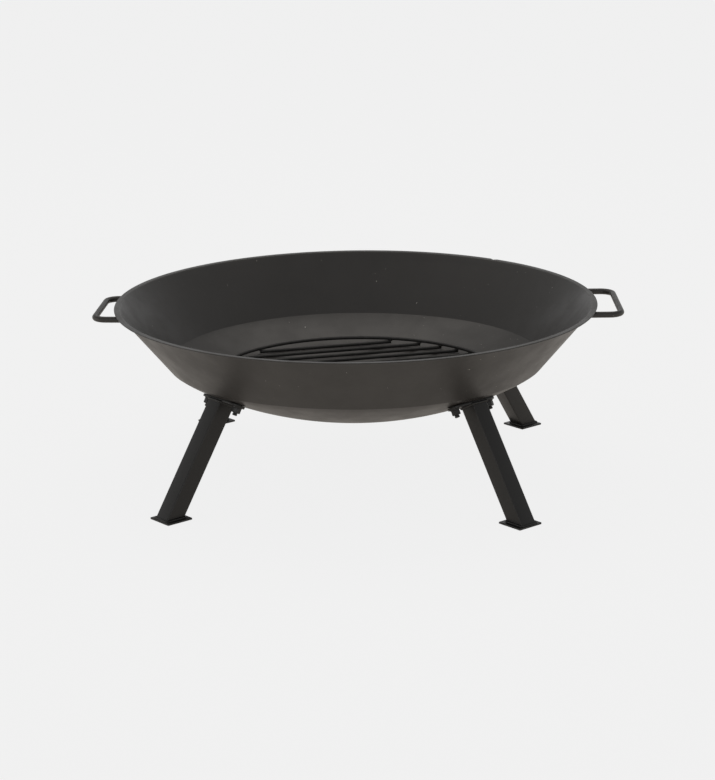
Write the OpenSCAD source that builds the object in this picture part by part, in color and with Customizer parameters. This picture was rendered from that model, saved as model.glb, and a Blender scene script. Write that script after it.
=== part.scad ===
// Fire pit with a loose round grate.
// A shallow sheet-steel bowl stands on four splayed square-tube legs. Two rod handles are welded to its wall.
// Sizes are in millimetres. The origin is on the floor under the middle of the bowl. +Z is up, +X is right.

/* [Bowl] */
// Outer diameter over the lip of the rim
rim_d = 800; // [560:10:1200]
// Height of the top of the rim above the floor
rim_h = 292; // [240:2:460]
// Width of the flat part of the lip
lip_w = 7.5; // [3:0.5:30]
// Radius of the bend between wall and lip, on the upper side
lip_bend_r = 4; // [2.5:0.5:12]
// Thickness of the bowl's sheet
sheet_t = 2; // [1.5:0.5:4]
// Diameter of the crease, where the wall and the dish would meet
crease_d = 626; // [420:1:960]
// Depth of the crease below the top of the rim
crease_drop = 97; // [70:0.5:180]
// Depth of the dished bottom below the crease
dish_depth = 88.5; // [40:0.5:130]
// How much steeper the dish is at the crease than an evenly round dish, in degrees
edge_lift = 5.4; // [1:0.2:10]
// Radius of the knuckle that makes the dish's edge steeper, on the underside
knuckle_r = 150; // [60:2:200]

/* [Handles] */
// Diameter of the handle rod
handle_rod_d = 10; // [6:0.5:16]
// Distance between the two straight sides of the left handle, centre to centre
left_handle_span = 146; // [90:2:200]
// Distance between the two straight sides of the right handle, centre to centre
right_handle_span = 166; // [90:2:200]
// Distance of the left handle's front side from the middle of the bowl
left_handle_front = 70; // [45:1:100]
// Distance of the right handle's front side from the middle of the bowl
right_handle_front = 77; // [45:1:100]
// How far the middle of the left handle stands out past the rim
left_handle_reach = 29; // [24:1:90]
// How far the middle of the right handle stands out past the rim
right_handle_reach = 40; // [24:1:90]
// Turn of the left handle, in degrees, with its front end swung outward
left_handle_turn = 4; // [0:0.5:8]
// Radius of a handle's corners, at the centre of the rod
handle_bend_r = 20; // [12:1:40]
// Gap between the handle rod and the underside of the lip
handle_gap = 2; // [0.5:0.5:40]

/* [Legs] */
// Turn of the set of legs away from the square diagonals, in degrees
leg_turn = -4.4; // [-20:0.2:20]
// Distance from the middle of the pit to the middle of a foot plate
foot_circle_r = 391.5; // [280:0.5:560]
// How far a tube stands outward of the middle of its foot plate
tube_shift = 2.7; // [0:0.1:6]
// Lean of a leg from upright, in degrees
leg_lean = 32.6; // [10:0.2:42]
// Outer width of the square tube
tube_w = 30; // [20:1:50]
// Wall thickness of the square tube
tube_wall = 2; // [1.5:0.5:4]
// Radius of the square tube's rolled corners, on the outside
tube_corner_r = 2; // [1:0.2:6]
// Side of the square foot plate
foot_w = 48; // [40:1:90]
// Thickness of the foot plate
foot_t = 3; // [2:0.5:8]
// Length of the top plate across the leg
top_plate_l = 90; // [88:1:140]
// Width of the top plate along the slope of the dish
top_plate_w = 30; // [26:1:70]
// Thickness of the top plate
top_plate_t = 4; // [3:0.5:8]
// Radius of the top plate's corners
top_plate_corner_r = 14; // [2:0.5:15]
// How far a top plate's middle lies from its tube, towards the front or the back of the pit
top_plate_shift = 5; // [0:0.5:10]

/* [Fasteners] */
// Distance between the two studs of a leg
stud_span = 72; // [58:1:78]
// Diameter of a weld stud
stud_d = 8; // [6:1:10]
// Radial play between a stud and the hole in the top plate
stud_play = 0.5; // [0.3:0.1:1]
// Radial play between a stud and its washer or nut
thread_play = 0.1; // [0.05:0.05:0.3]
// Outer diameter of a washer
washer_d = 16; // [16:0.5:24]
// Thickness of a washer
washer_t = 1.6; // [1:0.2:3]
// Width of a nut across its flats
nut_flats = 13; // [12:0.5:17]
// Height of a nut
nut_h = 8; // [5:0.2:9]
// Length of a stud showing past its nut
stud_show = 4.5; // [1:0.5:12]

/* [Grate] */
// Outer diameter of the grate ring
grate_d = 484; // [300:2:700]
// Diameter of the rod in the ring
ring_rod_d = 6; // [4:0.5:12]
// Diameter of the rod in the bars
bar_rod_d = 6; // [4:0.5:12]
// Distance between neighbouring bars, centre to centre
bar_pitch = 32; // [20:0.5:45]
// Turn of the bars away from the line of the handles, in degrees
grate_turn = 14.8; // [-90:0.2:90]
// Gap kept between the lowest edge of the grate and the dish, upright
grate_gap = 0.35; // [0.3:0.05:1]

/* [Hidden] */
$fn = 96;
eps = 0.01;
bar_count = 14;

// Bowl section, as points [distance from the axis, height].
lip_c = [rim_d / 2 - lip_w, rim_h - lip_bend_r];
edge_c = [(rim_d - sheet_t) / 2, rim_h - sheet_t / 2];
crease = [crease_d / 2, rim_h - crease_drop];
edge_slope = 2 * atan(dish_depth / crease[0]) + edge_lift;
knuckle_c = crease + knuckle_r * [-sin(edge_slope), cos(edge_slope)];
knuckle_rise = knuckle_c[1] - crease[1] + dish_depth;
dish_r = (pow(norm([knuckle_c[0], knuckle_rise]), 2) - pow(knuckle_r, 2)) / (2 * (knuckle_rise - knuckle_r));
dish_c = [0, crease[1] - dish_depth + dish_r];
dish_edge = atan2(knuckle_c[1] - dish_c[1], knuckle_c[0]);
to_lip = lip_c - crease;
wall_angle = atan2(to_lip[1], to_lip[0]) + asin((lip_bend_r - sheet_t) / norm(to_lip));
wall_dir = [cos(wall_angle), sin(wall_angle)];
crease_fold = (wall_angle - edge_slope) / 2;
crease_in_angle = edge_slope + crease_fold + 90;
crease_in = crease + sheet_t / cos(crease_fold) * [cos(crease_in_angle), sin(crease_in_angle)];
dish_steps = 40;
knuckle_steps = 8;
lip_steps = 8;
corner_steps = 5;

// Leg axis, in the upright plane through the middle of the pit.
leg_foot = [foot_circle_r + tube_shift, foot_t];
leg_dir = [-sin(leg_lean), cos(leg_lean)];
leg_from = leg_foot - dish_c;
leg_l = -leg_from * leg_dir - sqrt(pow(leg_from * leg_dir, 2) - leg_from * leg_from + pow(dish_r, 2));
leg_top = leg_foot + leg_l * leg_dir;
top_tilt = asin(leg_top[0] / dish_r);
stud_end = top_plate_t + washer_t + nut_h + stud_show;

// Grate heights and reach.
grate_r = grate_d / 2;
dish_in_r = dish_r - sheet_t;
dish_in_z = dish_c[1] - sqrt(pow(dish_in_r, 2) - pow(grate_r, 2));
bar_z = dish_in_z + grate_gap + bar_rod_d / 2;
ring_z = bar_z + bar_rod_d / 2 + ring_rod_d / 2;

// Handle height.
handle_z = rim_h - sheet_t - handle_gap - handle_rod_d / 2;

front_left = 225 + leg_turn;
front_right = 315 + leg_turn;
back_left = 135 + leg_turn;
back_right = 45 + leg_turn;

// Points along an arc around a centre, from one direction to another, with both ends.
function arc(centre, radius, from, to, steps) = [
    for (i = [0:steps])
        let (angle = from + (to - from) * i / steps)
            centre + radius * [cos(angle), sin(angle)]
];

// The same points without the first one.
function arc_after(centre, radius, from, to, steps) = [
    for (i = [1:steps])
        let (angle = from + (to - from) * i / steps)
            centre + radius * [cos(angle), sin(angle)]
];

// One closed outline of the sheet: out along its underside, round the lip, and back along its upper side.
module bowl_section() {
    polygon(concat(
        arc(dish_c, dish_r, -90, dish_edge, dish_steps),
        arc_after(knuckle_c, knuckle_r, dish_edge, edge_slope - 90, knuckle_steps),
        arc(lip_c, lip_bend_r - sheet_t, wall_angle + 90, 90, lip_steps),
        arc(edge_c, sheet_t / 2, -90, 90, lip_steps),
        arc(lip_c, lip_bend_r, 90, wall_angle + 90, lip_steps),
        [crease_in],
        arc_after(knuckle_c, knuckle_r - sheet_t, edge_slope - 90, dish_edge, knuckle_steps),
        arc_after(dish_c, dish_r - sheet_t, dish_edge, -90, dish_steps)
    ));
}

module bowl() {
    color("#3b3935")
        rotate_extrude($fn = 192)
            bowl_section();
}

// Everything inside the outer face of the wall, used to trim what is welded on to it.
module wall_cone() {
    low = crease;
    high_z = rim_h - sheet_t;
    high_r = crease[0] + (high_z - crease[1]) * wall_dir[0] / wall_dir[1];
    rotate_extrude($fn = 192)
        polygon([[0, low[1]], low, [high_r, high_z], [0, high_z]]);
}

// A handle on the +X side, from one straight side to the other, turned about the middle of its outer side.
module handle(from_y, to_y, reach, turn) {
    outer_x = rim_d / 2 + reach - handle_rod_d / 2;
    side_x = outer_x - handle_bend_r;
    middle = [outer_x, (from_y + to_y) / 2, handle_z];
    color("#2f2d2a")
        difference() {
            translate(middle)
                rotate([0, 0, turn])
                    translate(-middle)
                        union() {
                            for (side_y = [from_y, to_y])
                                translate([rim_d / 4, side_y, handle_z])
                                    rotate([0, 90, 0])
                                        cylinder(d = handle_rod_d, h = side_x - rim_d / 4);
                            for (corner = [[from_y + handle_bend_r, -90], [to_y - handle_bend_r, 0]])
                                translate([side_x, corner[0], handle_z])
                                    rotate([0, 0, corner[1]])
                                        rotate_extrude(angle = 90)
                                            translate([handle_bend_r, 0])
                                                circle(d = handle_rod_d);
                            translate([outer_x, from_y + handle_bend_r, handle_z])
                                rotate([-90, 0, 0])
                                    cylinder(d = handle_rod_d, h = to_y - from_y - 2 * handle_bend_r);
                        }
            wall_cone();
        }
}

module handle_left() {
    rotate([0, 0, 180])
        handle(left_handle_front - left_handle_span, left_handle_front,
            left_handle_reach, -left_handle_turn);
}

module handle_right() {
    handle(-right_handle_front, right_handle_span - right_handle_front, right_handle_reach, 0);
}

// Moves what follows to a leg's top plate, with +Z pointing away from the dish and Y across the leg.
module at_top_plate(shift = 0) {
    translate([leg_top[0], 0, leg_top[1]])
        rotate([0, 180 - top_tilt, 0])
            translate([0, shift, 0])
                children();
}

// A rectangle with round corners, centred on the origin.
module round_rectangle(width, length, corner_r) {
    x = width / 2 - corner_r;
    y = length / 2 - corner_r;
    polygon(concat(
        arc([x, y], corner_r, 0, 90, corner_steps),
        arc([-x, y], corner_r, 90, 180, corner_steps),
        arc([-x, -y], corner_r, 180, 270, corner_steps),
        arc([x, -y], corner_r, 270, 360, corner_steps)
    ));
}

module leg_tube(angle) {
    extra = tube_w;
    inner_w = tube_w - 2 * tube_wall;
    inner_corner_r = max(tube_corner_r - tube_wall, tube_wall / 4);
    color("#343230")
        rotate([0, 0, angle])
            difference() {
                translate([leg_foot[0], 0, leg_foot[1]])
                    rotate([0, -leg_lean, 0])
                        translate([0, 0, -extra])
                            linear_extrude(height = leg_l + 2 * extra)
                                difference() {
                                    round_rectangle(tube_w, tube_w, tube_corner_r);
                                    round_rectangle(inner_w, inner_w, inner_corner_r);
                                }
                translate([0, -tube_w, foot_t - 2 * tube_w])
                    cube([2 * foot_circle_r, 2 * tube_w, 2 * tube_w]);
                at_top_plate()
                    translate([-2 * tube_w, -tube_w, top_plate_t - 4 * tube_w])
                        cube([4 * tube_w, 2 * tube_w, 4 * tube_w]);
            }
}

module foot_plate(angle) {
    color("#343230")
        rotate([0, 0, angle])
            translate([foot_circle_r - foot_w / 2, -foot_w / 2, 0])
                cube([foot_w, foot_w, foot_t]);
}

module top_plate(angle, shift) {
    color("#3a3835")
        rotate([0, 0, angle])
            at_top_plate(shift)
                difference() {
                    linear_extrude(height = top_plate_t)
                        round_rectangle(top_plate_w, top_plate_l, min(top_plate_corner_r, top_plate_w / 2 - eps));
                    for (side = [-1, 1])
                        translate([0, side * stud_span / 2, -eps])
                            cylinder(r = stud_d / 2 + stud_play, h = top_plate_t + 2 * eps);
                }
}

module studs(angle, shift) {
    color("#55534f")
        rotate([0, 0, angle])
            difference() {
                at_top_plate(shift)
                    for (side = [-1, 1])
                        translate([0, side * stud_span / 2, -stud_d])
                            cylinder(d = stud_d, h = stud_d + stud_end);
                translate([0, 0, dish_c[1]])
                    sphere(r = dish_r, $fn = 192);
            }
}

module washers(angle, shift) {
    color("#605e5a")
        rotate([0, 0, angle])
            at_top_plate(shift)
                for (side = [-1, 1])
                    translate([0, side * stud_span / 2, top_plate_t])
                        difference() {
                            cylinder(d = washer_d, h = washer_t);
                            translate([0, 0, -eps])
                                cylinder(r = stud_d / 2 + thread_play, h = washer_t + 2 * eps);
                        }
}

module nuts(angle, shift) {
    color("#4a4845")
        rotate([0, 0, angle])
            at_top_plate(shift)
                for (side = [-1, 1])
                    translate([0, side * stud_span / 2, top_plate_t + washer_t])
                        difference() {
                            cylinder(d = nut_flats / cos(30), h = nut_h, $fn = 6);
                            translate([0, 0, -eps])
                                cylinder(r = stud_d / 2 + thread_play, h = nut_h + 2 * eps);
                        }
}

module grate_ring() {
    color("#1e1d1c")
        translate([0, 0, ring_z])
            rotate_extrude($fn = 192)
                translate([grate_r - ring_rod_d / 2, 0])
                    circle(d = ring_rod_d, $fn = 48);
}

module grate_bar(number) {
    offset_y = (number - (bar_count + 1) / 2) * bar_pitch;
    half_l = sqrt(pow(grate_r, 2) - pow(abs(offset_y) + bar_rod_d / 2, 2));
    color("#1a1918")
        rotate([0, 0, grate_turn])
            translate([-half_l, offset_y, bar_z])
                rotate([0, 90, 0])
                    cylinder(d = bar_rod_d, h = 2 * half_l, $fn = 48);
}

bowl();
handle_left();
handle_right();
leg_tube(front_left);  // leg_tube_front_left
leg_tube(front_right);  // leg_tube_front_right
leg_tube(back_left);  // leg_tube_back_left
leg_tube(back_right);  // leg_tube_back_right
foot_plate(front_left);  // foot_plate_front_left
foot_plate(front_right);  // foot_plate_front_right
foot_plate(back_left);  // foot_plate_back_left
foot_plate(back_right);  // foot_plate_back_right
top_plate(front_left, top_plate_shift);  // top_plate_front_left
top_plate(front_right, -top_plate_shift);  // top_plate_front_right
top_plate(back_left, -top_plate_shift);  // top_plate_back_left
top_plate(back_right, top_plate_shift);  // top_plate_back_right
studs(front_left, top_plate_shift);  // studs_front_left
studs(front_right, -top_plate_shift);  // studs_front_right
studs(back_left, -top_plate_shift);  // studs_back_left
studs(back_right, top_plate_shift);  // studs_back_right
washers(front_left, top_plate_shift);  // washers_front_left
washers(front_right, -top_plate_shift);  // washers_front_right
washers(back_left, -top_plate_shift);  // washers_back_left
washers(back_right, top_plate_shift);  // washers_back_right
nuts(front_left, top_plate_shift);  // nuts_front_left
nuts(front_right, -top_plate_shift);  // nuts_front_right
nuts(back_left, -top_plate_shift);  // nuts_back_left
nuts(back_right, top_plate_shift);  // nuts_back_right
grate_ring();
grate_bar(1);  // grate_bar_01
grate_bar(2);  // grate_bar_02
grate_bar(3);  // grate_bar_03
grate_bar(4);  // grate_bar_04
grate_bar(5);  // grate_bar_05
grate_bar(6);  // grate_bar_06
grate_bar(7);  // grate_bar_07
grate_bar(8);  // grate_bar_08
grate_bar(9);  // grate_bar_09
grate_bar(10);  // grate_bar_10
grate_bar(11);  // grate_bar_11
grate_bar(12);  // grate_bar_12
grate_bar(13);  // grate_bar_13
grate_bar(14);  // grate_bar_14
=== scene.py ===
"""Looks for a fire pit with a loose round grate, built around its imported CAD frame.

Each sub-assembly is a class whose sizes are dataclass fields, in metres, with methods that build its
meshes and dress them. Every piece rides on a CAD body. The frame's own boxes give the sizes of the
rim, the handles' rods and the grate, and say where the feet stand.
"""

import logging
from dataclasses import dataclass, field
from enum import Enum
from math import asin, atan, atan2, cos, hypot, pi, radians, sin, sqrt, tan
from typing import Callable, Optional, Sequence

import bpy
import numpy as np
from mathutils import Matrix, Vector


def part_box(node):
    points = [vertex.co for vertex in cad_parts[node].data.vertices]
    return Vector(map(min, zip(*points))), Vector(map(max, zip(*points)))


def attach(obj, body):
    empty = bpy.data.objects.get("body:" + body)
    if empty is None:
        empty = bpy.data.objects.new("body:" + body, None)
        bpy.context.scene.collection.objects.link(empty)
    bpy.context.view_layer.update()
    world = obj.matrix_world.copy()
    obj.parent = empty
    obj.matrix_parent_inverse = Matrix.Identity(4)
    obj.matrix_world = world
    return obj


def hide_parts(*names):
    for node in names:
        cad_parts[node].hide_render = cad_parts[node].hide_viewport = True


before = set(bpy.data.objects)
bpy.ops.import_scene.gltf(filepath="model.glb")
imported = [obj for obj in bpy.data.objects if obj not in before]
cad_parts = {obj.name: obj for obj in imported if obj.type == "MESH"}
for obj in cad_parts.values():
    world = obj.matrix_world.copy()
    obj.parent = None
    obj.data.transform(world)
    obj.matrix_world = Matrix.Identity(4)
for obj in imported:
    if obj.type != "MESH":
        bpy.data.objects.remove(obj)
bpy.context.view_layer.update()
LOG = logging.getLogger("fire_pit")

Point2 = tuple[float, float]
Point3 = tuple[float, float, float]
Color = tuple[float, float, float, float]
Array = np.ndarray
Object = bpy.types.Object
Material = bpy.types.Material
Socket = bpy.types.NodeSocket

# Edges sharper than these angles, in degrees, stay sharp.
TURNED_SHARP = 35.0
PLATE_SHARP = 40.0
ROD_SHARP = 50.0
NUT_SHARP = 28.0


class Slot(Enum):
    """Material slots of the record."""

    BOWL = "bowl_paint"
    LEG = "leg_paint"
    FASTENER = "fastener_steel"
    GRATE = "grate_steel"


class Body(Enum):
    """Bodies of the frame."""

    PIT = "pit"
    GRATE = "grate"


class Corner(Enum):
    """The four legs: each value is a node-name suffix."""

    FRONT_LEFT = "front_left"
    FRONT_RIGHT = "front_right"
    BACK_LEFT = "back_left"
    BACK_RIGHT = "back_right"


# -----------------------------------------------------------------------------
# Mesh making


def make_object(
    name: str, points: Array, faces: Sequence[Sequence[int]], smooth_deg: float = TURNED_SHARP
) -> Object:
    """Makes a mesh object and shades it smooth below an angle.

    Args:
        name: Object name.
        points: N by 3 array of points, in metres.
        faces: Point indices of each face.
        smooth_deg: Edges sharper than this stay sharp, in degrees.

    Returns:
        The linked object.
    """
    mesh = bpy.data.meshes.new(name)
    mesh.from_pydata(np.asarray(points, float).tolist(), [], [list(f) for f in faces])
    mesh.validate()
    mesh.polygons.foreach_set("use_smooth", [True] * len(mesh.polygons))
    mesh.set_sharp_from_angle(angle=radians(smooth_deg))
    obj = bpy.data.objects.new(name, mesh)
    bpy.context.scene.collection.objects.link(obj)
    return obj


def grid_faces(
    rows: int, columns: int, wrap_rows: bool, wrap_columns: bool
) -> list[tuple[int, int, int, int]]:
    """Quads over a grid of points stored row by row.

    Args:
        rows: Number of rows.
        columns: Points in each row.
        wrap_rows: Whether the last row joins the first.
        wrap_columns: Whether the last point of a row joins its first.

    Returns:
        The faces, as point indices.
    """
    faces = []
    for i in range(rows if wrap_rows else rows - 1):
        for j in range(columns if wrap_columns else columns - 1):
            a, b = i * columns, (i + 1) % rows * columns
            k = (j + 1) % columns
            faces.append((a + j, a + k, b + k, b + j))
    return faces


def revolve(
    name: str,
    outline: Sequence[Point2],
    steps: int,
    shape: Optional[Callable[[Array, Array], Array]] = None,
    smooth_deg: float = TURNED_SHARP,
) -> Object:
    """Turns a closed outline about Z.

    Args:
        name: Object name.
        outline: Points (distance from the axis, height). The first and last lie on the axis, or the
            section closes on itself.
        steps: Number of steps round the circle.
        shape: Optional change of the points, given the angle of each and the points themselves.
        smooth_deg: Edges sharper than this stay sharp, in degrees.

    Returns:
        The linked object.
    """
    profile = np.array(outline, float)
    on_axis = profile[0][0] < 1e-9 and profile[-1][0] < 1e-9
    rings = profile[1:-1] if on_axis else profile
    angle = np.repeat(np.arange(steps) * 2 * pi / steps, len(rings))
    radius, height = np.tile(rings[:, 0], steps), np.tile(rings[:, 1], steps)
    points = np.c_[radius * np.cos(angle), radius * np.sin(angle), height]
    if shape is not None:
        points = shape(angle, points)
    faces: list[tuple[int, ...]] = list(grid_faces(steps, len(rings), True, not on_axis))
    if on_axis:
        first, last = len(points), len(points) + 1
        points = np.vstack([points, [0, 0, profile[0][1]], [0, 0, profile[-1][1]]])
        n = len(rings)
        for i in range(steps):
            a, b = i * n, (i + 1) % steps * n
            faces.append((first, a, b))
            faces.append((last, b + n - 1, a + n - 1))
    return make_object(name, points, faces, smooth_deg)


def frames_along(path: Array, closed: bool) -> tuple[Array, Array]:
    """Two unit vectors across a path at each of its points, with no twist.

    Args:
        path: N by 3 points.
        closed: Whether the path is a loop.

    Returns:
        The two arrays of vectors.
    """
    if closed:
        tangent = np.roll(path, -1, 0) - np.roll(path, 1, 0)
    else:
        tangent = np.gradient(path, axis=0)
    tangent /= np.linalg.norm(tangent, axis=1)[:, None]
    seed = np.array([0.0, 0.0, 1.0]) if abs(tangent[0][2]) < 0.9 else np.array([1.0, 0.0, 0.0])
    first = np.zeros_like(path)
    across = seed
    for i, t in enumerate(tangent):
        across = across - t * (across @ t)
        across /= np.linalg.norm(across)
        first[i] = across
    return first, np.cross(tangent, first)


def tube(
    name: str,
    path: Sequence[Sequence[float]],
    radius: float | Array,
    sides: int,
    closed: bool = False,
    end_bevel: float = 0.0,
) -> Object:
    """Sweeps a round rod along a path, with slightly rounded ends.

    Args:
        name: Object name.
        path: Points along the rod's centre.
        radius: Rod radius, or one for each point.
        sides: Points round the rod.
        closed: Whether the path is a loop.
        end_bevel: Size of the bevel at each end.

    Returns:
        The linked object.
    """
    line = np.array(path, float)
    radii = np.broadcast_to(np.asarray(radius, float), (len(line),)).copy()
    if not closed and end_bevel > 0:
        head = (line[1] - line[0]) / np.linalg.norm(line[1] - line[0])
        tail = (line[-2] - line[-1]) / np.linalg.norm(line[-2] - line[-1])
        head_in, tail_in = line[0] + head * end_bevel, line[-1] + tail * end_bevel
        line = np.vstack([line[0], head_in, line[1:-1], tail_in, line[-1]])
        radii = np.r_[radii[0] - end_bevel, radii[0], radii[1:-1], radii[-1], radii[-1] - end_bevel]
    first, second = frames_along(line, closed)
    turn = np.arange(sides) * 2 * pi / sides
    cosine, sine = np.cos(turn)[None, :, None], np.sin(turn)[None, :, None]
    around = cosine * first[:, None] + sine * second[:, None]
    points = (line[:, None] + radii[:, None, None] * around).reshape(-1, 3)
    faces: list[tuple[int, ...]] = list(grid_faces(len(line), sides, closed, True))
    if not closed:
        faces.append(tuple(range(sides))[::-1])
        faces.append(tuple(range(len(points) - sides, len(points))))
    return make_object(name, points, faces, ROD_SHARP)


def rounded_outline(width: float, depth: float, radius: float, steps: int = 6) -> Array:
    """Outline of a rectangle with round corners, centred on the origin.

    Args:
        width: Size along X.
        depth: Size along Y.
        radius: Corner radius.
        steps: Steps round each corner.

    Returns:
        N by 2 points, counterclockwise.
    """
    points = []
    for number, (sx, sy) in enumerate(((1, 1), (-1, 1), (-1, -1), (1, -1))):
        centre = np.array([sx * (width / 2 - radius), sy * (depth / 2 - radius)])
        for i in range(steps + 1):
            a = (number + i / steps) * pi / 2
            points.append(centre + radius * np.array([cos(a), sin(a)]))
    return np.array(points)


def plate(name: str, width: float, depth: float, thickness: float, corner: float, bevel: float) -> Object:
    """A flat plate with round corners and softened edges, from z = 0 to its thickness.

    Args:
        name: Object name.
        width: Size along X.
        depth: Size along Y.
        thickness: Size along Z.
        corner: Corner radius.
        bevel: Edge rounding.

    Returns:
        The linked object.
    """
    half_way = bevel * 0.3
    lower = [(0.0, bevel), (half_way, half_way), (bevel, 0.0)]
    levels = []
    for height, sink in lower + [(thickness - height, sink) for height, sink in lower[::-1]]:
        ring = rounded_outline(width - 2 * sink, depth - 2 * sink, max(corner - sink, 1e-4))
        levels.append(np.c_[ring, np.full(len(ring), height)])
    n = len(levels[0])
    faces: list[tuple[int, ...]] = list(grid_faces(len(levels), n, False, True))
    faces.append(tuple(range(n))[::-1])
    faces.append(tuple(range((len(levels) - 1) * n, len(levels) * n)))
    return make_object(name, np.vstack(levels), faces, PLATE_SHARP)


def place(obj: Object, matrix: Matrix) -> Object:
    """Moves an object's points by a matrix and leaves the object at the origin.

    Args:
        obj: The object.
        matrix: Where it goes.

    Returns:
        The same object.
    """
    obj.data.transform(matrix)
    return obj


@dataclass(frozen=True)
class BeadForm:
    """How a weld bead varies: two lengths in metres, then shares of its radius, and counts."""

    step: float = 0.0006
    ripple_pitch: float = 0.0022
    mean: float = 0.95
    ripple: float = 0.10
    grain: float = 0.04
    sag: float = 0.16
    sag_points: int = 9
    end_length: float = 2.5
    end_radius: float = 0.45
    sides: int = 12


def weld_bead(name: str, path: Array, radius: float, closed: bool, seed: int) -> Object:
    """A bead of weld: a thin rod whose thickness ripples as the torch was moved.

    Args:
        name: Object name.
        path: Points along the joint.
        radius: Mean radius of the bead.
        closed: Whether the joint is a loop.
        seed: Seed of the small irregularities.

    Returns:
        The linked object.
    """
    rng = np.random.default_rng(seed)
    form = BeadForm()
    length = np.r_[0, np.cumsum(np.linalg.norm(np.diff(path, axis=0), axis=1))]
    count = max(8, int(length[-1] / form.step))
    at = np.linspace(0, length[-1], count, endpoint=not closed)
    line = np.column_stack([np.interp(at, length, path[:, k]) for k in range(3)])
    ripple = form.ripple * np.abs(np.sin(at / form.ripple_pitch * pi + rng.uniform(0, 3)))
    ripple += rng.normal(0, form.grain, count)
    sags = rng.uniform(-form.sag, form.sag, form.sag_points)
    sag = np.interp(np.arange(count), np.linspace(0, count, form.sag_points), sags)
    radii = radius * (form.mean + ripple + sag)
    if not closed:
        to_end = np.minimum(at, length[-1] - at) / (form.end_length * radius)
        radii *= np.clip(to_end + form.end_radius, 0, 1)
    return tube(name, line, radii, form.sides, closed)


# -----------------------------------------------------------------------------
# Finishes


def gray(value: float) -> Color:
    """A gray with full cover.

    Args:
        value: Its brightness.

    Returns:
        The colour.
    """
    return (value, value, value, 1.0)


@dataclass
class Shader:
    """A small builder of the nodes of a material or of the world."""

    owner: Material | bpy.types.World
    tree: bpy.types.NodeTree = field(init=False)

    def __post_init__(self) -> None:
        """Clears the tree."""
        self.owner.use_nodes = True
        self.tree = self.owner.node_tree
        self.tree.nodes.clear()

    def node(self, kind: str, **values: object) -> bpy.types.Node:
        """Adds a node and sets its properties and inputs.

        Args:
            kind: Blender's node type, without "ShaderNode" before it.
            values: Property names, or input names with spaces as underscores.

        Returns:
            The node.
        """
        made = self.tree.nodes.new("ShaderNode" + kind)
        for key, value in values.items():
            if hasattr(made, key):
                setattr(made, key, value)
            else:
                self.feed(made.inputs[key.replace("_", " ")], value)
        return made

    def feed(self, socket: Socket, value: object) -> None:
        """Links a socket, or sets its constant.

        Args:
            socket: The input.
            value: An output socket or a constant.
        """
        if isinstance(value, bpy.types.NodeSocket):
            self.tree.links.new(value, socket)
        else:
            socket.default_value = value

    def noise(self, scale: float, detail: float, roughness: float) -> Socket:
        """Noise in object space.

        Args:
            scale: Cells a metre.
            detail: Octaves.
            roughness: Strength of the finer octaves.

        Returns:
            The noise value's socket.
        """
        at = self.node("TexCoord").outputs["Object"]
        made = self.node("TexNoise", Vector=at, Scale=scale, Detail=detail, Roughness=roughness)
        return made.outputs[0]

    def ramp(
        self, value: Socket, low: float, high: float, out_low: float = 0.0, out_high: float = 1.0
    ) -> Socket:
        """Maps a range of a value onto another, clamped and smooth.

        Args:
            value: The value's socket.
            low: Start of the range.
            high: End of the range.
            out_low: Result at the start.
            out_high: Result at the end.

        Returns:
            The result's socket.
        """
        made = self.node("MapRange", interpolation_type="SMOOTHSTEP")
        for socket, item in zip(made.inputs[:5], (value, low, high, out_low, out_high)):
            self.feed(socket, item)
        return made.outputs[0]

    def maths(self, operation: str, first: object, second: object) -> Socket:
        """One sum.

        Args:
            operation: Blender's name of the operation.
            first: First value or socket.
            second: Second value or socket.

        Returns:
            The result's socket.
        """
        made = self.node("Math", operation=operation)
        self.feed(made.inputs[0], first)
        self.feed(made.inputs[1], second)
        return made.outputs[0]

    def mix(self, share: object, first: object, second: object) -> Socket:
        """Mixes two colours.

        Args:
            share: Share of the second colour.
            first: First colour or socket.
            second: Second colour or socket.

        Returns:
            The colour's socket.
        """
        made = self.node("Mix", data_type="RGBA")
        self.feed(made.inputs[0], share)
        self.feed(made.inputs[6], first)
        self.feed(made.inputs[7], second)
        return made.outputs[2]

    def edges(self, radius: float) -> Socket:
        """How sharp the shape turns here, 0 on flats to 1 on edges.

        Args:
            radius: Reach of the test, in metres.

        Returns:
            The value's socket.
        """
        bevel = self.node("Bevel", samples=4, Radius=radius)
        normal = self.node("NewGeometry").outputs["Normal"]
        dot = self.node("VectorMath", operation="DOT_PRODUCT")
        self.feed(dot.inputs[0], bevel.outputs[0])
        self.feed(dot.inputs[1], normal)
        return self.ramp(self.maths("SUBTRACT", 1.0, dot.outputs["Value"]), 0.01, 0.22)

    def finish(
        self,
        color: object,
        roughness: object,
        metallic: object,
        bumps: Sequence[tuple[Socket, float, float]],
        specular: float,
    ) -> Material:
        """Adds the surface and the output.

        Args:
            color: Base colour or socket.
            roughness: Roughness or socket.
            metallic: Metallic share or socket.
            bumps: Height socket, strength and height in metres, from coarse to fine.
            specular: Specular level.

        Returns:
            The finished material.
        """
        normal: Optional[Socket] = None
        for height, strength, distance in bumps:
            bump = self.node("Bump", Strength=strength, Distance=distance, Height=height)
            if normal is not None:
                self.feed(bump.inputs["Normal"], normal)
            normal = bump.outputs[0]
        surface = self.node("BsdfPrincipled", Base_Color=color, Roughness=roughness, Metallic=metallic)
        self.feed(surface.inputs["Specular IOR Level"], specular)
        if normal is not None:
            self.feed(surface.inputs["Normal"], normal)
        self.node("OutputMaterial", Surface=surface.outputs[0])
        return self.owner


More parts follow.
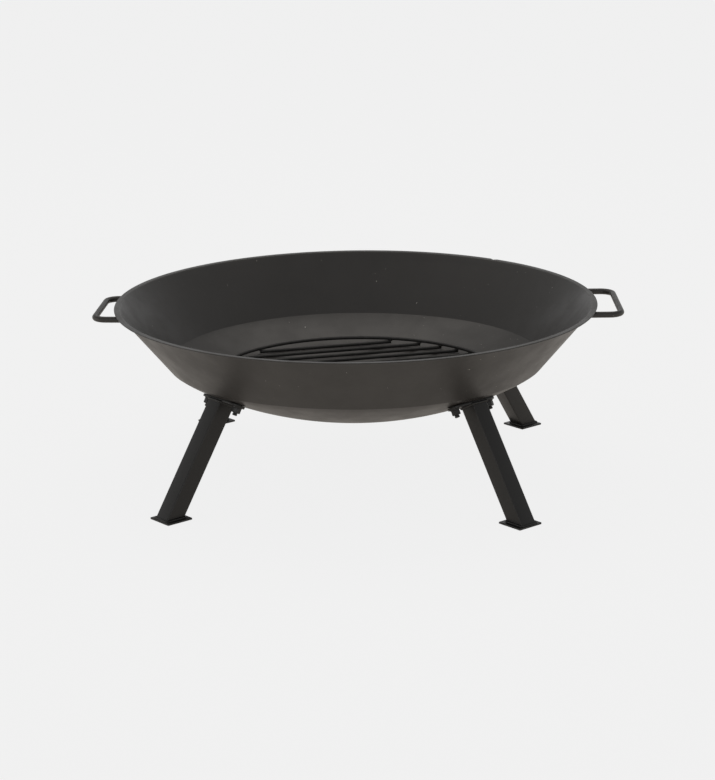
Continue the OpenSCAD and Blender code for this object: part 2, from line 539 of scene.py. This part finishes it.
@dataclass(frozen=True)
class PaintFinish:
    """Heat-resistant satin paint on steel: orange peel, faint clouds, dust specks and rubbed edges, which on
    the legs are also a painted edge highlight.
    """

    name: str
    color: Color
    cloud_color: Color
    # Colour of sharp edges: rubbed paint, and on the legs also a painted highlight.
    rubbed_and_highlight_color: Color
    roughness: float
    specular: float = 0.5
    cloud_scale: float = 7.0
    fine_scale: float = 260.0
    fine_share: float = 0.18
    wear_and_highlight_scale: float = 85.0
    wear_and_highlight_share: float = 0.8
    edge_reach: float = 0.0015
    speck_scale: float = 190.0
    speck_share: float = 0.0
    speck_color: Color = (0.35, 0.33, 0.30, 1.0)
    sheen_scale: float = 22.0
    peel_scale: float = 900.0
    peel_height: float = 0.00012
    dent_scale: float = 9.0
    dent_height: float = 0.0012

    def build(self) -> Material:
        """Makes the material.

        Returns:
            The material.
        """
        shader = Shader(bpy.data.materials.new(self.name))
        cloud = shader.ramp(shader.noise(self.cloud_scale, 5.0, 0.6), 0.35, 0.68)
        base = shader.mix(cloud, self.color, self.cloud_color)
        fine = shader.ramp(shader.noise(self.fine_scale, 3.0, 0.6), 0.45, 0.75, 0.0, self.fine_share)
        base = shader.mix(fine, base, self.cloud_color)
        # Lighter paint on sharp edges: rubbed wear, and on the legs also a painted highlight along the tube
        # corners and plate rims.
        wear_and_highlight = shader.ramp(shader.noise(self.wear_and_highlight_scale, 4.0, 0.7), 0.50, 0.66, 0.0, self.wear_and_highlight_share)
        wear_and_highlight = shader.maths("MULTIPLY", shader.edges(self.edge_reach), wear_and_highlight)
        base = shader.mix(wear_and_highlight, base, self.rubbed_and_highlight_color)
        if self.speck_share > 0:
            least = 1 - self.speck_share
            speck = shader.ramp(shader.noise(self.speck_scale, 2.0, 0.5), least, least + 0.02)
            base = shader.mix(speck, base, self.speck_color)
        sheen = shader.noise(self.sheen_scale, 4.0, 0.6)
        rough = shader.ramp(sheen, 0.3, 0.7, self.roughness - 0.04, self.roughness + 0.05)
        peel = shader.noise(self.peel_scale, 2.0, 0.5)
        dents = shader.noise(self.dent_scale, 1.0, 0.4)
        bumps = [(dents, 0.35, self.dent_height), (peel, 0.25, self.peel_height)]
        return shader.finish(base, rough, 0.0, bumps, self.specular)


@dataclass(frozen=True)
class SteelFinish:
    """Blackened rod or fastener steel with mill scale, a fine grain and a trace of soot."""

    name: str
    color: Color
    scale_color: Color
    roughness: float
    metallic: float = 0.0
    specular: float = 0.4
    mill_scale: float = 120.0
    mill_height: float = 0.0002
    soot_scale: float = 18.0
    soot_share: float = 0.5
    soot_color: Color = gray(0.010)
    sheen_scale: float = 300.0
    grain_scale: float = 700.0
    grain_height: float = 0.0001

    def build(self) -> Material:
        """Makes the material.

        Returns:
            The material.
        """
        shader = Shader(bpy.data.materials.new(self.name))
        mill = shader.ramp(shader.noise(self.mill_scale, 5.0, 0.65), 0.42, 0.62)
        base = shader.mix(mill, self.color, self.scale_color)
        soot = shader.ramp(shader.noise(self.soot_scale, 3.0, 0.5), 0.45, 0.7, 0.0, self.soot_share)
        base = shader.mix(soot, base, self.soot_color)
        sheen = shader.noise(self.sheen_scale, 3.0, 0.6)
        rough = shader.ramp(sheen, 0.3, 0.7, self.roughness - 0.06, self.roughness + 0.08)
        grain = shader.noise(self.grain_scale, 3.0, 0.6)
        bumps = [(mill, 0.3, self.mill_height), (grain, 0.3, self.grain_height)]
        return shader.finish(base, rough, self.metallic, bumps, self.specular)


@dataclass
class Finishes:
    """The materials of the record's slots, built once."""

    bowl: PaintFinish = PaintFinish(
        "bowl_satin_paint",
        color=(0.0155, 0.0136, 0.0118, 1.0),
        cloud_color=(0.019, 0.0168, 0.0148, 1.0),
        rubbed_and_highlight_color=(0.050, 0.045, 0.040, 1.0),
        roughness=0.42,
        speck_share=0.235,
    )
    leg: PaintFinish = PaintFinish(
        "leg_satin_paint",
        color=(0.010, 0.0097, 0.0094, 1.0),
        cloud_color=(0.013, 0.0126, 0.012, 1.0),
        # Edge colour well above the base: partly rubbed paint, partly a painted highlight on the tube
        # corners and plate rims.
        rubbed_and_highlight_color=(0.08, 0.077, 0.073, 1.0),
        roughness=0.37,
        specular=0.34,
    )
    fastener: SteelFinish = SteelFinish(
        "black_fastener_steel", gray(0.010), (0.02, 0.0195, 0.019, 1.0), roughness=0.42
    )
    grate: SteelFinish = SteelFinish(
        "black_grate_rod", (0.016, 0.015, 0.014, 1.0), (0.024, 0.0225, 0.021, 1.0), roughness=0.5
    )
    made: dict[Slot, Material] = field(default_factory=dict)

    def material(self, slot: Slot) -> Material:
        """The material of a slot.

        Args:
            slot: Which slot.

        Returns:
            The material.
        """
        if slot not in self.made:
            sources = dict(zip(Slot, (self.bowl, self.leg, self.fastener, self.grate)))
            self.made[slot] = sources[slot].build()
        return self.made[slot]

    def dress(self, obj: Object, slot: Slot, body: Body, *nodes: str) -> Object:
        """Gives a piece its material, body and slot, and hides the CAD nodes it stands for.

        Args:
            obj: The piece.
            slot: Its slot.
            body: The body it rides on.
            nodes: CAD nodes that it replaces.

        Returns:
            The same piece.
        """
        obj.data.materials.clear()
        obj.data.materials.append(self.material(slot))
        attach(obj, body.value)
        if nodes:
            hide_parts(*nodes)
        LOG.info("%s: %d points on %s", obj.name, len(obj.data.vertices), body.value)
        return obj


# -----------------------------------------------------------------------------
# Sub-assemblies


@dataclass
class Bowl:
    """The pressed bowl: dish, knuckle, crease, straight wall and flat lip."""

    sheet: float = 0.002
    lip_width: float = 0.0075
    lip_bend: float = 0.004
    crease_radius: float = 0.313
    crease_drop: float = 0.097
    dish_depth: float = 0.0885
    edge_lift_deg: float = 5.4
    knuckle_radius: float = 0.150
    seam_deg: float = 51.6
    nick_depth: float = 0.0022
    nick_width: float = 0.0026
    wave_height: float = 0.0003
    wave_start: float = 0.15
    wave_sink: float = 0.0005
    lip_wave: float = 0.0001
    sharp_deg: float = 11.0
    steps: int = 384
    dish_steps: int = 36
    wall_steps: int = 14
    bend_steps: int = 8
    under_bend_steps: int = 6
    rim_radius: float = field(init=False)
    rim_height: float = field(init=False)

    def __post_init__(self) -> None:
        """Reads the rim's size from the frame and works out the section."""
        low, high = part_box("bowl")
        self.rim_radius = (high.x - low.x) / 2
        self.rim_height = high.z
        self.crease = np.array([self.crease_radius, self.rim_height - self.crease_drop])
        self.lip_centre = np.array([self.rim_radius - self.lip_width, self.rim_height - self.lip_bend])
        self.edge_centre = np.array([self.rim_radius - self.sheet / 2, self.rim_height - self.sheet / 2])
        slope = 2 * atan(self.dish_depth / self.crease_radius)
        self.edge_slope = slope + radians(self.edge_lift_deg)
        lean = np.array([-sin(self.edge_slope), cos(self.edge_slope)])
        self.knuckle_centre = self.crease + self.knuckle_radius * lean
        across, rise = self.knuckle_centre[0], self.knuckle_centre[1] - self.crease[1] + self.dish_depth
        squares = across**2 + rise**2 - self.knuckle_radius**2
        self.dish_radius = float(squares / (2 * (rise - self.knuckle_radius)))
        self.dish_centre = np.array([0.0, self.crease[1] - self.dish_depth + self.dish_radius])
        self.dish_edge = atan2(self.knuckle_centre[1] - self.dish_centre[1], across)
        to_lip = self.lip_centre - self.crease
        extra = asin((self.lip_bend - self.sheet) / float(np.linalg.norm(to_lip)))
        self.wall_angle = atan2(to_lip[1], to_lip[0]) + extra
        self.along = np.array([cos(self.wall_angle), sin(self.wall_angle)])
        self.inward = np.array([-self.along[1], self.along[0]])
        fold = (self.wall_angle - self.edge_slope) / 2
        middle = self.edge_slope + fold + pi / 2
        inside = np.array([cos(middle), sin(middle)])
        self.crease_inside = self.crease + self.sheet / cos(fold) * inside

    @staticmethod
    def arc(centre: Array, radius: float, start: float, end: float, steps: int) -> list[Point2]:
        """Points along an arc.

        Args:
            centre: Its centre.
            radius: Its radius.
            start: First angle, in radians.
            end: Last angle, in radians.
            steps: Number of steps.

        Returns:
            The points, both ends included.
        """
        angles = np.linspace(start, end, steps + 1)
        points = [centre + radius * np.array([cos(a), sin(a)]) for a in angles]
        return [(float(x), float(y)) for x, y in points]

    @staticmethod
    def between(start: Array, end: Array, steps: int) -> list[Point2]:
        """Points inside a straight stretch.

        Args:
            start: One end.
            end: The other end.
            steps: Number of steps.

        Returns:
            The points, without the ends.
        """
        return [tuple(start + (end - start) * t) for t in np.linspace(0, 1, steps + 1)[1:-1]]

    def outline(self) -> list[Point2]:
        """The sheet's section, from the axis out along the underside and back along the upper side.

        Returns:
            The points.
        """
        quarter, edge = pi / 2, self.edge_slope - pi / 2
        knuckle, dish = (self.knuckle_centre, self.knuckle_radius), (self.dish_centre, self.dish_radius)
        bend, under_lip = self.bend_steps, self.lip_bend - self.sheet
        under_top = self.lip_centre + under_lip * self.inward
        upper_top = self.lip_centre + self.lip_bend * self.inward
        return (
            self.arc(*dish, -quarter, self.dish_edge, self.dish_steps)
            + self.arc(*knuckle, self.dish_edge, edge, bend)[1:]
            + self.between(self.crease, under_top, self.wall_steps)
            + self.arc(self.lip_centre, under_lip, self.wall_angle + quarter, quarter, self.under_bend_steps)
            + self.arc(self.edge_centre, self.sheet / 2, -quarter, quarter, bend)
            + self.arc(self.lip_centre, self.lip_bend, quarter, self.wall_angle + quarter, bend)
            + self.between(upper_top, self.crease_inside, self.wall_steps)
            + [tuple(self.crease_inside)]
            + self.arc(knuckle[0], knuckle[1] - self.sheet, edge, self.dish_edge, bend)[1:]
            + self.arc(dish[0], dish[1] - self.sheet, self.dish_edge, -quarter, self.dish_steps)[1:]
        )

    def work(self, angle: Array, points: Array) -> Array:
        """Adds what the press and the welder left: a nick in the lip at the seam and a faint waviness.

        Args:
            angle: Angle of each point, in radians.
            points: The points.

        Returns:
            The changed points.
        """
        radius = np.hypot(points[:, 0], points[:, 1])
        away = (angle - radians(self.seam_deg) + pi) % (2 * pi) - pi
        arc_length = np.abs(away) * radius
        on_lip = np.clip((radius - (self.rim_radius - self.lip_width)) / self.lip_width, 0, 1)
        nick = self.nick_depth * on_lip * np.exp(-((arc_length / self.nick_width) ** 2))
        shrink = 1 - nick / radius.clip(0.001)
        points = np.c_[points[:, 0] * shrink, points[:, 1] * shrink, points[:, 2]]
        below_lip = points[:, 2] < self.rim_height - 1.1 * self.sheet
        wave = self.wave_height * (np.sin(3 * angle + 0.7) + 0.6 * np.sin(7 * angle + 2.1))
        rise = np.clip((radius - self.wave_start) / self.wave_start, 0, 1)
        below = wave * rise - self.wave_sink * rise
        above = -self.lip_wave * np.abs(np.sin(2.5 * angle)) - 0.5 * nick
        points[:, 2] += np.where(below_lip, below, above)
        return points

    def build(self, finishes: Finishes) -> list[Object]:
        """Makes the bowl and dresses it.

        Args:
            finishes: The materials.

        Returns:
            The pieces.
        """
        shell = revolve("bowl_shell", self.outline(), self.steps, self.work, self.sharp_deg)
        return [finishes.dress(shell, Slot.BOWL, Body.PIT, "bowl")]

    def wall_x(self, y: float, z: float) -> float:
        """How far out along X the wall's outer face lies.

        Args:
            y: Place across.
            z: Height.

        Returns:
            The distance from the middle, as a positive number.
        """
        radius = self.crease[0] + (z - self.crease[1]) * self.along[0] / self.along[1]
        return sqrt(radius**2 - y**2)


@dataclass
class Handle:
    """One bent rod welded under the rim."""

    node: str
    side: int
    bowl: Bowl
    front: float
    back: float
    reach: float
    turn_deg: float
    bend_radius: float = 0.020
    bead_radius: float = 0.0020
    bead_lift: float = 0.0011
    bead_seed: int = 11
    bead_points: int = 72
    sink: float = 0.0004
    sides: int = 28
    arm_points: int = 4
    bend_points: int = 13
    grip_points: int = 12

    def __post_init__(self) -> None:
        """Reads the rod's size, its height and where it starts from the frame."""
        low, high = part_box(self.node)
        self.rod = (high.z - low.z) / 2
        self.height = (high.z + low.z) / 2
        self.start = min(abs(low.x), abs(high.x))

    def turned(self, out: float, y: float) -> Point2:
        """Turns a point about the middle of the handle's outer side.

        Args:
            out: Distance from the middle of the bowl towards the handle.
            y: Place along Y.

        Returns:
            The turned distance and Y.
        """
        a, middle = radians(self.turn_deg), (self.front + self.back) / 2
        out, y = out - self.reach, y - middle
        return self.reach + out * cos(a) - y * sin(a), middle + out * sin(a) + y * cos(a)

    def path(self) -> Array:
        """Centre of the rod from one weld round to the other.

        Returns:
            N by 3 points.
        """
        bend, reach, front, back = self.bend_radius, self.reach, self.front, self.back
        clear = self.bowl.wall_x(0.0, self.height + self.rod) + self.rod / 2
        straight = np.r_[self.start, np.linspace(clear, reach - bend, self.arm_points)]
        quarter = np.linspace(0, pi / 2, self.bend_points)
        points = [(x, front) for x in straight[:-1]]
        points += [(reach - bend + bend * sin(a), front + bend - bend * cos(a)) for a in quarter]
        points += [(reach, y) for y in np.linspace(front + bend, back - bend, self.grip_points)[1:-1]]
        points += [(reach - bend + bend * cos(a), back - bend + bend * sin(a)) for a in quarter]
        points += [(x, back) for x in straight[::-1][1:]]
        turned = [self.turned(x, y) for x, y in points]
        return np.array([(self.side * x, y, self.height) for x, y in turned])

    def build(self, finishes: Finishes) -> list[Object]:
        """Makes the rod, cut to the wall's slope, and its two welds.

        Args:
            finishes: The materials.

        Returns:
            The pieces.
        """
        rod = tube(f"{self.node}_rod", self.path(), self.rod, self.sides)
        points = list(rod.data.vertices)
        for vertex in points[: self.sides] + points[-self.sides :]:
            vertex.co.x = self.side * (self.bowl.wall_x(vertex.co.y, vertex.co.z) - self.sink)
        pieces = [finishes.dress(rod, Slot.BOWL, Body.PIT, self.node)]
        for end, y in ((0, self.front), (1, self.back)):
            seed = self.bead_seed + 3 * end + (self.side > 0)
            bead = weld_bead(f"{self.node}_weld_{end + 1}", self.weld_path(y), self.bead_radius, True, seed)
            pieces.append(finishes.dress(bead, Slot.BOWL, Body.PIT))
        return pieces

    def weld_path(self, y: float) -> Array:
        """Loop where the rod meets the wall.

        Args:
            y: Where the rod's centre lies.

        Returns:
            N by 3 points.
        """
        centre = self.turned(self.bowl.wall_x(y, self.height), y)[1]
        points = []
        for a in np.linspace(0, 2 * pi, self.bead_points, endpoint=False):
            across, up = centre + self.rod * cos(a), self.height + self.rod * sin(a)
            points.append((self.side * (self.bowl.wall_x(across, up) + self.bead_lift), across, up))
        return np.array(points)


@dataclass
class Leg:
    """One leg: tube, foot plate, top plate, welds and fasteners."""

    corner: Corner
    bowl: Bowl
    tube_shift: float = 0.0027
    tube_width: float = 0.030
    tube_corner: float = 0.0020
    lean_deg: float = 32.6
    foot_width: float = 0.048
    foot_thickness: float = 0.003
    foot_corner: float = 0.0012
    top_length: float = 0.090
    top_width: float = 0.030
    top_thickness: float = 0.004
    top_corner: float = 0.014
    top_shift: float = 0.005
    plate_bevel: float = 0.0005
    stud_span: float = 0.072
    stud_radius: float = 0.004
    stud_show: float = 0.0045
    washer_radius: float = 0.008
    washer_thickness: float = 0.0016
    washer_soft: float = 0.0004
    washer_steps: int = 48
    nut_flats: float = 0.013
    nut_height: float = 0.008
    nut_chamfer: float = 0.0008
    nut_cut: float = 0.00096
    nut_turn_deg: float = 17.0
    nut_steps: int = 72
    corner_ratio: float = 1.155
    play: float = 0.0001
    thread_pitch: float = 0.00125
    thread_depth: float = 0.6
    tip_chamfer: float = 0.001
    tip_cut: float = 0.0009
    stud_steps: int = 32
    bead_radius: float = 0.0021
    bead_outset: float = 0.0005
    bead_lift: float = 0.0006

    def __post_init__(self) -> None:
        """Finds the leg's place and direction in the frame."""
        low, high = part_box(f"foot_plate_{self.corner.value}")
        middle = (low + high) / 2
        self.foot_radius = hypot(middle.x, middle.y)
        self.turn = Matrix.Rotation(atan2(middle.y, middle.x), 4, "Z")
        lean = radians(self.lean_deg)
        foot = np.array([self.foot_radius + self.tube_shift, self.foot_thickness])
        direction = np.array([-sin(lean), cos(lean)])
        away = foot - self.bowl.dish_centre
        reach = away @ direction
        length = float(-reach - sqrt(reach**2 - away @ away + self.bowl.dish_radius**2))
        top = foot + length * direction
        tilt = asin(top[0] / self.bowl.dish_radius)
        at_foot, at_top = (Matrix.Translation((p[0], 0, p[1])) for p in (foot, top))
        self.tube_place = self.turn @ at_foot @ Matrix.Rotation(-lean, 4, "Y")
        self.top_place = self.turn @ at_top @ Matrix.Rotation(pi - tilt, 4, "Y")
        hand = 1 if self.corner in (Corner.FRONT_LEFT, Corner.BACK_RIGHT) else -1
        self.plate_place = self.top_place @ Matrix.Translation((0, hand * self.top_shift, 0))

    def tube_rings(self, width: float, radius: float) -> Array:
        """The tube's outline where it meets the foot plate and where it meets the top plate.

        Args:
            width: Width of the outline.
            radius: Its corner radius.

        Returns:
            2 by N by 3 points, where the leg stands.
        """
        outline = rounded_outline(width, width, radius)
        to_top = self.top_place.inverted() @ self.tube_place
        rings = []
        for x, y in outline:
            low_z = -x * tan(radians(self.lean_deg))
            start, step = to_top @ Vector((x, y, 0)), to_top.to_3x3() @ Vector((0, 0, 1))
            high_z = (self.top_thickness - start.z) / step.z
            rings.append(((x, y, low_z), (x, y, high_z)))
        points = np.array(rings).transpose(1, 0, 2)
        flat = [self.tube_place @ Vector(p) for p in points.reshape(-1, 3)]
        return np.array(flat).reshape(points.shape)

    def make_tube(self) -> Object:
        """The square tube with its rolled corners.

        Returns:
            The piece.
        """
        low, high = self.tube_rings(self.tube_width, self.tube_corner)
        rings = [low + (high - low) * t for t in np.linspace(0, 1, 9)]
        faces = grid_faces(len(rings), len(low), False, True)
        return make_object(f"leg_{self.corner.value}_tube", np.vstack(rings), faces, PLATE_SHARP)

    def stud(self, name: str) -> Object:
        """A threaded weld stud, from the dish to its chamfered tip, along +Z.

        Args:
            name: Object name.

        Returns:
            The piece.
        """
        radius, pitch = self.stud_radius, self.thread_pitch
        tip = self.top_thickness + self.washer_thickness + self.nut_height + self.stud_show
        # The dish curves away from the flat top plate, so the stud starts below z = 0.
        start = -self.stud_span**2 / 8 / self.bowl.dish_radius
        root = radius - self.thread_depth * pitch
        outline: list[Point2] = [(0.0, start), (radius, start), (radius, 0.0)]
        z = 0.0
        while z + pitch < tip - self.tip_chamfer:
            outline += [(radius, z + 0.15 * pitch), (root, z + 0.5 * pitch), (radius, z + 0.85 * pitch)]
            z += pitch
        outline += [(radius, tip - self.tip_chamfer), (radius - self.tip_cut, tip), (0.0, tip)]
        return revolve(name, outline, self.stud_steps)

    def washer(self, name: str) -> Object:
        """A washer with rolled edges, on the top plate, along +Z.

        Args:
            name: Object name.

        Returns:
            The piece.
        """
        low, high = self.top_thickness, self.top_thickness + self.washer_thickness
        hole, radius, soft = self.stud_radius + self.play, self.washer_radius, self.washer_soft
        outline: list[Point2] = [
            (hole, low),
            (radius - soft * 0.4, low),
            (radius, low + soft * 0.5),
            (radius, high - soft),
            (radius - soft * 0.3, high - soft * 0.3),
            (radius - soft, high),
            (hole, high),
        ]
        return revolve(name, outline, self.washer_steps)

    def nut(self, name: str, turn_deg: float) -> Object:
        """A hex nut with chamfered corners, on the washer, along +Z.

        Args:
            name: Object name.
            turn_deg: Turn about its axis, in degrees.

        Returns:
            The piece.
        """
        low = self.top_thickness + self.washer_thickness
        high = low + self.nut_height
        flats, hole, edge = self.nut_flats / 2, self.stud_radius + self.play, self.nut_chamfer
        turn, half = radians(turn_deg), pi / 6
        angles = [2 * pi * i / self.nut_steps for i in range(self.nut_steps)]
        hexagon = [flats / cos((a + half) % (pi / 3) - half) for a in angles]
        inner = [hole] * len(angles)
        levels = []
        for z, cut in ((low, self.nut_cut), (low + edge, 0.0), (high - edge, 0.0), (high, self.nut_cut)):
            levels.append((z, [min(radius, flats * self.corner_ratio - cut) for radius in hexagon]))
        rings = []
        for z, radii in levels + [(high, inner), (low, inner)]:
            rings += [(r * cos(a + turn), r * sin(a + turn), z) for r, a in zip(radii, angles)]
        faces = grid_faces(len(levels) + 2, len(angles), True, True)
        return make_object(name, np.array(rings), faces, NUT_SHARP)

    def build(self, finishes: Finishes) -> list[Object]:
        """Makes and dresses the whole leg.

        Args:
            finishes: The materials.

        Returns:
            The pieces.
        """
        name, order, body = self.corner.value, list(Corner).index(self.corner), Body.PIT
        pieces = [finishes.dress(self.make_tube(), Slot.LEG, body, f"leg_tube_{name}")]
        width, bevel = self.foot_width, self.plate_bevel
        foot = plate(f"leg_{name}_foot", width, width, self.foot_thickness, self.foot_corner, bevel)
        place(foot, self.turn @ Matrix.Translation((self.foot_radius, 0, 0)))
        pieces.append(finishes.dress(foot, Slot.LEG, body, f"foot_plate_{name}"))
        sizes = self.top_width, self.top_length, self.top_thickness
        top = plate(f"leg_{name}_top_plate", *sizes, self.top_corner, bevel)
        pieces.append(finishes.dress(place(top, self.plate_place), Slot.LEG, body, f"top_plate_{name}"))
        low, high = self.tube_rings(self.tube_width + 2 * self.bead_outset, self.tube_corner)
        lift = (high - low) / np.linalg.norm(high - low, axis=1)[:, None] * self.bead_lift
        for number, ring in enumerate((low + lift, high - lift)):
            seed = 10 * order + number
            bead = weld_bead(f"leg_{name}_weld_{number + 1}", ring, self.bead_radius, True, seed)
            pieces.append(finishes.dress(bead, Slot.LEG, body))
        studs, washers, nuts = [], [], []
        for number, side in enumerate((-1, 1)):
            at = self.plate_place @ Matrix.Translation((0, side * self.stud_span / 2, 0))
            studs.append(place(self.stud(f"leg_{name}_stud_{number + 1}"), at))
            washers.append(place(self.washer(f"leg_{name}_washer_{number + 1}"), at))
            turn_deg = self.nut_turn_deg * (order + number)
            nuts.append(place(self.nut(f"leg_{name}_nut_{number + 1}", turn_deg), at))
        for group, node in ((studs, "studs"), (washers, "washers"), (nuts, "nuts")):
            for piece in group:
                pieces.append(finishes.dress(piece, Slot.FASTENER, body, f"{node}_{name}"))
        return pieces


@dataclass
class Grate:
    """The loose grate: a ring on top of parallel bars."""

    bars: int = 14
    turn_deg: float = 14.8
    bar_bevel: float = 0.0005
    bar_sides: int = 18
    bar_points: int = 24
    ring_sides: int = 20
    ring_points: int = 256
    weld_radius: float = 0.0022
    weld_offset: float = 0.55
    weld_points: int = 9
    seed: int = 5

    def __post_init__(self) -> None:
        """Reads the ring and bar sizes from the frame."""
        low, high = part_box("grate_ring")
        self.ring_rod = (high.z - low.z) / 2
        self.ring_height = (high.z + low.z) / 2
        self.ring_radius = (high.x - low.x) / 2 - self.ring_rod
        low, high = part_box("grate_bar_08")
        self.bar_rod = (high.z - low.z) / 2
        self.bar_height = (high.z + low.z) / 2

    def bar_offset(self, number: int) -> float:
        """Distance of a bar's centre line from the middle of the grate.

        Args:
            number: Which bar, from 1.

        Returns:
            The signed distance.
        """
        low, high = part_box(f"grate_bar_{number:02d}")
        middle = (low + high) / 2
        turn = radians(self.turn_deg)
        return float(-middle.x * sin(turn) + middle.y * cos(turn))

    def build(self, finishes: Finishes) -> list[Object]:
        """Makes and dresses the grate.

        Args:
            finishes: The materials.

        Returns:
            The pieces.
        """
        rng = np.random.default_rng(self.seed)
        radius, height = self.ring_radius, self.ring_height
        angles = np.linspace(0, 2 * pi, self.ring_points, endpoint=False)
        loop = [(radius * cos(a), radius * sin(a), height) for a in angles]
        ring = tube("grate_ring_rod", loop, self.ring_rod, self.ring_sides, True)
        pieces = [finishes.dress(ring, Slot.GRATE, Body.GRATE, "grate_ring")]
        turn = Matrix.Rotation(radians(self.turn_deg), 4, "Z")
        outer, joint = radius + self.ring_rod, (self.bar_height + height) / 2
        for number in range(1, self.bars + 1):
            offset = self.bar_offset(number)
            half = sqrt(outer**2 - (abs(offset) + self.bar_rod) ** 2)
            line = [(x, offset, self.bar_height) for x in np.linspace(-half, half, self.bar_points)]
            sizes = self.bar_rod, self.bar_sides, False, self.bar_bevel
            bar = place(tube(f"grate_bar_{number:02d}_rod", line, *sizes), turn)
            pieces.append(finishes.dress(bar, Slot.GRATE, Body.GRATE, f"grate_bar_{number:02d}"))
            across = sqrt(radius**2 - offset**2)
            for end, end_name in ((-1, "left"), (1, "right")):
                length = self.ring_rod * rng.uniform(0.8, 1.1)
                for flank, flank_name in ((-1, "near"), (1, "far")):
                    y = offset + flank * self.bar_rod * self.weld_offset
                    along = end * across + np.linspace(-1, 1, self.weld_points) * length
                    path = np.array([(x, y, joint) for x in along])
                    thickness, seed = self.weld_radius * rng.uniform(0.8, 1.0), int(rng.integers(1000))
                    name = f"grate_weld_{number:02d}_{end_name}_{flank_name}"
                    bead = place(weld_bead(name, path, thickness, False, seed), turn)
                    pieces.append(finishes.dress(bead, Slot.GRATE, Body.GRATE))
        return pieces


@dataclass
class Studio:
    """Pale floor, soft light and the camera."""

    camera_place: Point3 = (0.0, -3.833, 1.209)
    pitch_deg: float = 15.60
    roll_deg: float = -0.667
    yaw_deg: float = 0.02
    lens_mm: float = 109.4
    sensor_mm: float = 36.0
    floor_size: float = 60.0
    floor_drop: float = 0.0005
    matt: float = 0.85
    pale: float = 0.87
    ceiling: float = 0.42
    horizon: Point2 = (0.02, 0.50)
    warm: Point3 = (1.0, 0.94, 0.87)
    aim: Point3 = (0.0, 0.0, 0.2)
    seen_pale: float = 0.895
    clean_floor: float = 0.95
    bounce_glow: float = 0.5
    bounce_tint: Color = (0.95, 0.87, 0.78, 1.0)

    def build_camera(self) -> None:
        """Adds the camera."""
        data = bpy.data.cameras.new("camera")
        data.lens, data.sensor_width, data.sensor_fit = self.lens_mm, self.sensor_mm, "AUTO"
        camera = bpy.data.objects.new("camera", data)
        pitch, roll, yaw = (radians(v) for v in (self.pitch_deg, self.roll_deg, self.yaw_deg))
        forward = Vector((sin(yaw) * cos(pitch), cos(yaw) * cos(pitch), -sin(pitch)))
        right = Vector((cos(yaw), -sin(yaw), 0.0))
        up = right.cross(forward)
        tilted_right = right * cos(roll) + up * sin(roll)
        tilted_up = up * cos(roll) - right * sin(roll)
        basis = Matrix((tilted_right, tilted_up, -forward)).transposed().to_4x4()
        camera.matrix_world = Matrix.Translation(self.camera_place) @ basis
        bpy.context.scene.collection.objects.link(camera)
        bpy.context.scene.camera = camera

    def build_floor(self) -> None:
        """Adds the pale floor, matt and glowing, so that its shadows stay faint."""
        half = self.floor_size / 2
        corners = ((-half, -half), (half, -half), (half, half), (-half, half))
        points = np.array([(x, y, -self.floor_drop) for x, y in corners])
        floor = make_object("floor", points, [(0, 1, 2, 3)])
        shader = Shader(bpy.data.materials.new("pale_floor"))
        seen = shader.node("LightPath").outputs["Is Camera Ray"]
        tint = shader.mix(seen, self.bounce_tint, gray(self.seen_pale))
        glow = shader.node("Emission", Color=tint, Strength=1.0)
        matt = shader.node("BsdfDiffuse", Color=gray(self.matt))
        blend = shader.node("MixShader")
        share = shader.ramp(seen, 0.0, 1.0, self.bounce_glow, self.clean_floor)
        for socket, value in zip(blend.inputs, (share, matt.outputs[0], glow.outputs[0])):
            shader.feed(socket, value)
        shader.node("OutputMaterial", Surface=blend.outputs[0])
        floor.data.materials.append(shader.owner)

    def build_world(self) -> None:
        """Sets a pale surround that darkens towards the ceiling."""
        world = bpy.data.worlds.new("surround")
        bpy.context.scene.world = world
        shader = Shader(world)
        split = shader.node("SeparateXYZ", Vector=shader.node("TexCoord").outputs["Generated"])
        glow = shader.ramp(split.outputs["Z"], *self.horizon, self.pale, self.ceiling)
        background = shader.node("Background", Color=gray(1.0), Strength=glow)
        shader.node("OutputWorld", Surface=background.outputs[0])

    def add_light(
        self, name: str, place_at: Point3, size: Point2, glow: float, tint: Point3 = (1.0, 1.0, 1.0)
    ) -> None:
        """Adds a soft rectangular light aimed at the bowl.

        Args:
            name: Object name.
            place_at: Where it hangs.
            size: Width and height.
            glow: Brightness of its face.
            tint: Its colour.
        """
        data = bpy.data.lights.new(name, "AREA")
        data.shape, data.size, data.size_y = "RECTANGLE", size[0], size[1]
        data.energy = glow * pi * size[0] * size[1]
        data.color = tint
        light = bpy.data.objects.new(name, data)
        light.location = place_at
        light.rotation_euler = (Vector(self.aim) - Vector(place_at)).to_track_quat("-Z", "Y").to_euler()
        bpy.context.scene.collection.objects.link(light)

    def build(self) -> None:
        """Adds everything."""
        self.build_camera()
        self.build_floor()
        self.build_world()
        self.add_light("overhead", (-0.2, 1.3, 3.0), size=(3.2, 2.2), glow=1.15, tint=self.warm)
        self.add_light("front", (-0.6, -4.6, 2.2), size=(1.2, 1.2), glow=3.0)
        self.add_light("left", (-3.2, -0.6, 0.5), size=(1.6, 0.7), glow=1.9, tint=self.warm)
        self.add_light("right", (3.2, -0.6, 0.5), size=(1.4, 0.8), glow=0.25, tint=self.warm)
        bpy.context.scene.view_settings.view_transform = "Standard"


def main() -> None:
    """Builds the studio and every sub-assembly in order."""
    logging.basicConfig(level=logging.INFO, format="%(message)s")
    Studio().build()
    finishes = Finishes()
    bowl = Bowl()
    pieces = bowl.build(finishes)
    left = Handle("handle_left", -1, bowl, front=-0.070, back=0.076, reach=0.424, turn_deg=4.0)
    right = Handle("handle_right", 1, bowl, front=-0.077, back=0.089, reach=0.435, turn_deg=0.0)
    pieces += left.build(finishes) + right.build(finishes)
    for corner in Corner:
        pieces += Leg(corner, bowl).build(finishes)
    pieces += Grate().build(finishes)
    LOG.info("%d pieces", len(pieces))


if __name__ == "__main__":
    main()
